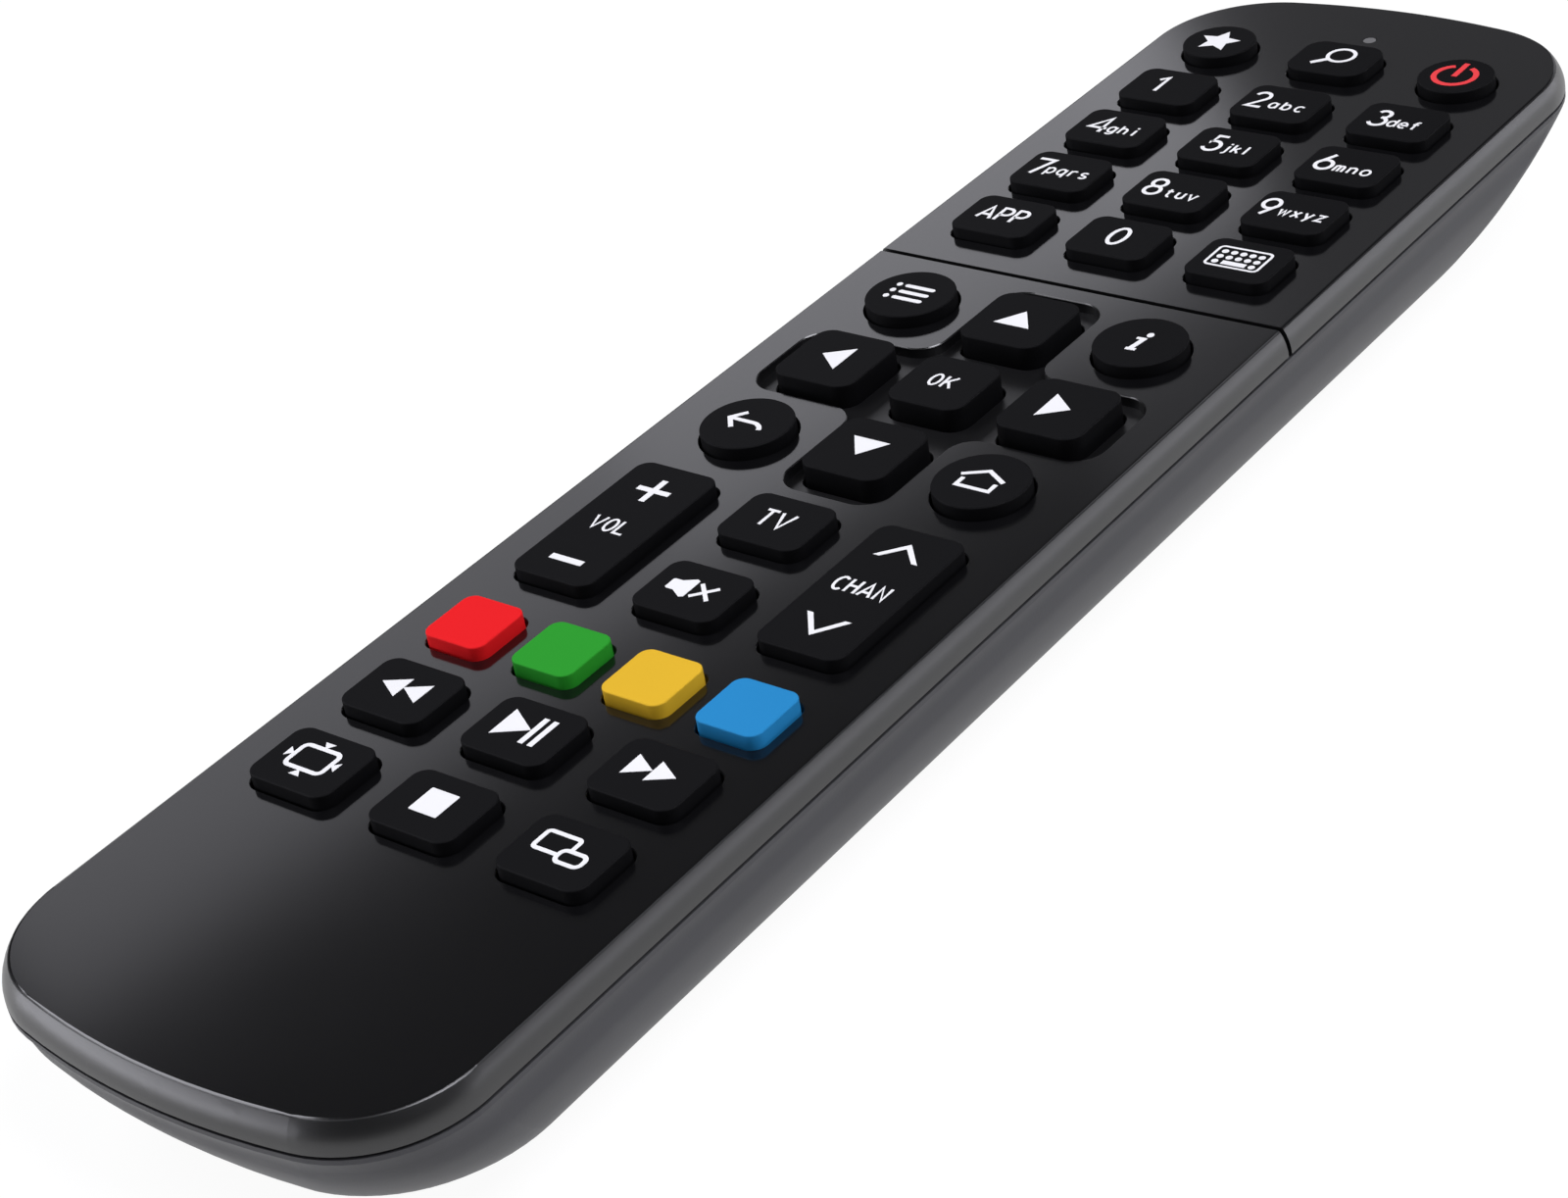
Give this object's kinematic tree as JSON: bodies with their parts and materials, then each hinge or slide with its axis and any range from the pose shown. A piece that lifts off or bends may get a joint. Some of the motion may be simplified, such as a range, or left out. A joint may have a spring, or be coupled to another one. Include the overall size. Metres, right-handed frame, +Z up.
{
  "type": "tv box remote control",
  "caption": "Slim hand-held infrared remote with a navigation pad, number, volume, channel, colour and playback keys, and a battery door underneath.",
  "frame": {"origin": "middle of the flat underside that the remote rests on", "axes": "+Z up out of the key face, +Y towards the front end with the infrared window, +X to the right seen from above"},
  "size_m": [0.0522, 0.214, 0.0198],
  "materials": {
    "key_0": "fine matte silicone",
    "key_1": "fine matte silicone",
    "key_2": "fine matte silicone",
    "key_3": "fine matte silicone",
    "key_4": "fine matte silicone",
    "key_5": "fine matte silicone",
    "key_6": "fine matte silicone",
    "key_7": "fine matte silicone",
    "key_8": "fine matte silicone",
    "key_9": "fine matte silicone",
    "key_app": "fine matte silicone",
    "key_aspect": "fine matte silicone",
    "key_back": "fine matte silicone",
    "key_blue": "fine matte silicone",
    "key_channel": "fine matte silicone",
    "key_down": "fine matte silicone",
    "key_fast_forward": "fine matte silicone",
    "key_green": "fine matte silicone",
    "key_home": "fine matte silicone",
    "key_info": "fine matte silicone",
    "key_keyboard": "fine matte silicone",
    "key_left": "fine matte silicone",
    "key_menu": "fine matte silicone",
    "key_mute": "fine matte silicone",
    "key_ok": "fine matte silicone",
    "key_picture_in_picture": "fine matte silicone",
    "key_play_pause": "fine matte silicone",
    "key_power": "fine matte silicone",
    "key_red": "fine matte silicone",
    "key_rewind": "fine matte silicone",
    "key_right": "fine matte silicone",
    "key_search": "fine matte silicone",
    "key_star": "fine matte silicone",
    "key_stop": "fine matte silicone",
    "key_tv": "fine matte silicone",
    "key_up": "fine matte silicone",
    "key_volume": "fine matte silicone",
    "key_yellow": "fine matte silicone",
    "aaa_cell_left": "printed sleeve",
    "aaa_cell_right": "printed sleeve",
    "battery_bridge_strap": "nickel plated",
    "battery_door": "fine grain",
    "battery_springs": "nickel plated wire",
    "battery_terminal_plates": "nickel plated",
    "bottom_shell": "fine grain",
    "case_screws": "zinc plated",
    "chip_parts": "ceramic",
    "circuit_board": "lacquered",
    "crystal_resonator": "satin",
    "emitter_transistor": "moulded",
    "infrared_emitters": "clear tinted",
    "infrared_window": "polished dark tint",
    "keypad_mat": "silicone",
    "microcontroller": "moulded",
    "reservoir_capacitor": "sleeved can",
    "status_light": "clear",
    "status_light_pipe": "clear",
    "top_cover_front": "satin gloss",
    "top_cover_rear": "satin gloss"
  },
  "bodies": {
    "case": {"aaa_cell_left": "aaa_cell_left", "aaa_cell_right": "aaa_cell_right", "battery_bridge_strap": "battery_bridge_strap", "battery_springs": "battery_springs", "battery_terminal_plates": "battery_terminal_plates", "bottom_shell": "bottom_shell", "case_screws": "case_screws", "chip_parts": "chip_parts", "circuit_board": "circuit_board", "crystal_resonator": "crystal_resonator", "emitter_transistor": "emitter_transistor", "infrared_emitters": "infrared_emitters", "infrared_window": "infrared_window", "keypad_mat": "keypad_mat", "microcontroller": "microcontroller", "reservoir_capacitor": "reservoir_capacitor", "status_light": "status_light", "status_light_pipe": "status_light_pipe", "top_cover_front": "top_cover_front", "top_cover_rear": "top_cover_rear"},
    "door": {"battery_door": "battery_door"},
    "body_key_0": {"key_0": "key_0"},
    "body_key_1": {"key_1": "key_1"},
    "body_key_2": {"key_2": "key_2"},
    "body_key_3": {"key_3": "key_3"},
    "body_key_4": {"key_4": "key_4"},
    "body_key_5": {"key_5": "key_5"},
    "body_key_6": {"key_6": "key_6"},
    "body_key_7": {"key_7": "key_7"},
    "body_key_8": {"key_8": "key_8"},
    "body_key_9": {"key_9": "key_9"},
    "body_key_app": {"key_app": "key_app"},
    "body_key_aspect": {"key_aspect": "key_aspect"},
    "body_key_back": {"key_back": "key_back"},
    "body_key_blue": {"key_blue": "key_blue"},
    "body_key_channel": {"key_channel": "key_channel"},
    "body_key_down": {"key_down": "key_down"},
    "body_key_fast_forward": {"key_fast_forward": "key_fast_forward"},
    "body_key_green": {"key_green": "key_green"},
    "body_key_home": {"key_home": "key_home"},
    "body_key_info": {"key_info": "key_info"},
    "body_key_keyboard": {"key_keyboard": "key_keyboard"},
    "body_key_left": {"key_left": "key_left"},
    "body_key_menu": {"key_menu": "key_menu"},
    "body_key_mute": {"key_mute": "key_mute"},
    "body_key_ok": {"key_ok": "key_ok"},
    "body_key_picture_in_picture": {"key_picture_in_picture": "key_picture_in_picture"},
    "body_key_play_pause": {"key_play_pause": "key_play_pause"},
    "body_key_power": {"key_power": "key_power"},
    "body_key_red": {"key_red": "key_red"},
    "body_key_rewind": {"key_rewind": "key_rewind"},
    "body_key_right": {"key_right": "key_right"},
    "body_key_search": {"key_search": "key_search"},
    "body_key_star": {"key_star": "key_star"},
    "body_key_stop": {"key_stop": "key_stop"},
    "body_key_tv": {"key_tv": "key_tv"},
    "body_key_up": {"key_up": "key_up"},
    "body_key_volume": {"key_volume": "key_volume"},
    "body_key_yellow": {"key_yellow": "key_yellow"}
  },
  "joints": [
    {"name": "battery_door_swing", "type": "hinge", "parent": "case", "child": "door", "pos_m": [0, -0.02325, 0.00115], "axis": [1, 0, 0], "range_deg": [0, 70]},
    {"name": "key_channel_rock", "type": "hinge", "parent": "case", "child": "body_key_channel", "pos_m": [0.015, -0.02661, 0.01555], "axis": [1, 0, 0], "range_deg": [-3.3, 3.3], "stiffness_Nm_per_rad": 0.15},
    {"name": "key_volume_rock", "type": "hinge", "parent": "case", "child": "body_key_volume", "pos_m": [-0.015, -0.02661, 0.01555], "axis": [1, 0, 0], "range_deg": [-3.3, 3.3], "stiffness_Nm_per_rad": 0.15},
    {"name": "key_0_press", "type": "slide", "parent": "case", "child": "body_key_0", "axis": [0, 0, -1], "range_m": [0, 0.0008], "stiffness_N_per_m": 1200},
    {"name": "key_1_press", "type": "slide", "parent": "case", "child": "body_key_1", "axis": [0, 0, -1], "range_m": [0, 0.0008], "stiffness_N_per_m": 1200},
    {"name": "key_2_press", "type": "slide", "parent": "case", "child": "body_key_2", "axis": [0, 0, -1], "range_m": [0, 0.0008], "stiffness_N_per_m": 1200},
    {"name": "key_3_press", "type": "slide", "parent": "case", "child": "body_key_3", "axis": [0, 0, -1], "range_m": [0, 0.0008], "stiffness_N_per_m": 1200},
    {"name": "key_4_press", "type": "slide", "parent": "case", "child": "body_key_4", "axis": [0, 0, -1], "range_m": [0, 0.0008], "stiffness_N_per_m": 1200},
    {"name": "key_5_press", "type": "slide", "parent": "case", "child": "body_key_5", "axis": [0, 0, -1], "range_m": [0, 0.0008], "stiffness_N_per_m": 1200},
    {"name": "key_6_press", "type": "slide", "parent": "case", "child": "body_key_6", "axis": [0, 0, -1], "range_m": [0, 0.0008], "stiffness_N_per_m": 1200},
    {"name": "key_7_press", "type": "slide", "parent": "case", "child": "body_key_7", "axis": [0, 0, -1], "range_m": [0, 0.0008], "stiffness_N_per_m": 1200},
    {"name": "key_8_press", "type": "slide", "parent": "case", "child": "body_key_8", "axis": [0, 0, -1], "range_m": [0, 0.0008], "stiffness_N_per_m": 1200},
    {"name": "key_9_press", "type": "slide", "parent": "case", "child": "body_key_9", "axis": [0, 0, -1], "range_m": [0, 0.0008], "stiffness_N_per_m": 1200},
    {"name": "key_app_press", "type": "slide", "parent": "case", "child": "body_key_app", "axis": [0, 0, -1], "range_m": [0, 0.0008], "stiffness_N_per_m": 1200},
    {"name": "key_aspect_press", "type": "slide", "parent": "case", "child": "body_key_aspect", "axis": [0, 0, -1], "range_m": [0, 0.0008], "stiffness_N_per_m": 1200},
    {"name": "key_back_press", "type": "slide", "parent": "case", "child": "body_key_back", "axis": [0, 0, -1], "range_m": [0, 0.0008], "stiffness_N_per_m": 1200},
    {"name": "key_blue_press", "type": "slide", "parent": "case", "child": "body_key_blue", "axis": [0, 0, -1], "range_m": [0, 0.0008], "stiffness_N_per_m": 1200},
    {"name": "key_down_press", "type": "slide", "parent": "case", "child": "body_key_down", "axis": [0, 0, -1], "range_m": [0, 0.0008], "stiffness_N_per_m": 1200},
    {"name": "key_fast_forward_press", "type": "slide", "parent": "case", "child": "body_key_fast_forward", "axis": [0, 0, -1], "range_m": [0, 0.0008], "stiffness_N_per_m": 1200},
    {"name": "key_green_press", "type": "slide", "parent": "case", "child": "body_key_green", "axis": [0, 0, -1], "range_m": [0, 0.0008], "stiffness_N_per_m": 1200},
    {"name": "key_home_press", "type": "slide", "parent": "case", "child": "body_key_home", "axis": [0, 0, -1], "range_m": [0, 0.0008], "stiffness_N_per_m": 1200},
    {"name": "key_info_press", "type": "slide", "parent": "case", "child": "body_key_info", "axis": [0, 0, -1], "range_m": [0, 0.0008], "stiffness_N_per_m": 1200},
    {"name": "key_keyboard_press", "type": "slide", "parent": "case", "child": "body_key_keyboard", "axis": [0, 0, -1], "range_m": [0, 0.0008], "stiffness_N_per_m": 1200},
    {"name": "key_left_press", "type": "slide", "parent": "case", "child": "body_key_left", "axis": [0, 0, -1], "range_m": [0, 0.0008], "stiffness_N_per_m": 1200},
    {"name": "key_menu_press", "type": "slide", "parent": "case", "child": "body_key_menu", "axis": [0, 0, -1], "range_m": [0, 0.0008], "stiffness_N_per_m": 1200},
    {"name": "key_mute_press", "type": "slide", "parent": "case", "child": "body_key_mute", "axis": [0, 0, -1], "range_m": [0, 0.0008], "stiffness_N_per_m": 1200},
    {"name": "key_ok_press", "type": "slide", "parent": "case", "child": "body_key_ok", "axis": [0, 0, -1], "range_m": [0, 0.0008], "stiffness_N_per_m": 1200},
    {"name": "key_picture_in_picture_press", "type": "slide", "parent": "case", "child": "body_key_picture_in_picture", "axis": [0, 0, -1], "range_m": [0, 0.0008], "stiffness_N_per_m": 1200},
    {"name": "key_play_pause_press", "type": "slide", "parent": "case", "child": "body_key_play_pause", "axis": [0, 0, -1], "range_m": [0, 0.0008], "stiffness_N_per_m": 1200},
    {"name": "key_power_press", "type": "slide", "parent": "case", "child": "body_key_power", "axis": [0, 0, -1], "range_m": [0, 0.0008], "stiffness_N_per_m": 1200},
    {"name": "key_red_press", "type": "slide", "parent": "case", "child": "body_key_red", "axis": [0, 0, -1], "range_m": [0, 0.0008], "stiffness_N_per_m": 1200},
    {"name": "key_rewind_press", "type": "slide", "parent": "case", "child": "body_key_rewind", "axis": [0, 0, -1], "range_m": [0, 0.0008], "stiffness_N_per_m": 1200},
    {"name": "key_right_press", "type": "slide", "parent": "case", "child": "body_key_right", "axis": [0, 0, -1], "range_m": [0, 0.0008], "stiffness_N_per_m": 1200},
    {"name": "key_search_press", "type": "slide", "parent": "case", "child": "body_key_search", "axis": [0, 0, -1], "range_m": [0, 0.0008], "stiffness_N_per_m": 1200},
    {"name": "key_star_press", "type": "slide", "parent": "case", "child": "body_key_star", "axis": [0, 0, -1], "range_m": [0, 0.0008], "stiffness_N_per_m": 1200},
    {"name": "key_stop_press", "type": "slide", "parent": "case", "child": "body_key_stop", "axis": [0, 0, -1], "range_m": [0, 0.0008], "stiffness_N_per_m": 1200},
    {"name": "key_tv_press", "type": "slide", "parent": "case", "child": "body_key_tv", "axis": [0, 0, -1], "range_m": [0, 0.0008], "stiffness_N_per_m": 1200},
    {"name": "key_up_press", "type": "slide", "parent": "case", "child": "body_key_up", "axis": [0, 0, -1], "range_m": [0, 0.0008], "stiffness_N_per_m": 1200},
    {"name": "key_yellow_press", "type": "slide", "parent": "case", "child": "body_key_yellow", "axis": [0, 0, -1], "range_m": [0, 0.0008], "stiffness_N_per_m": 1200}
  ]
}
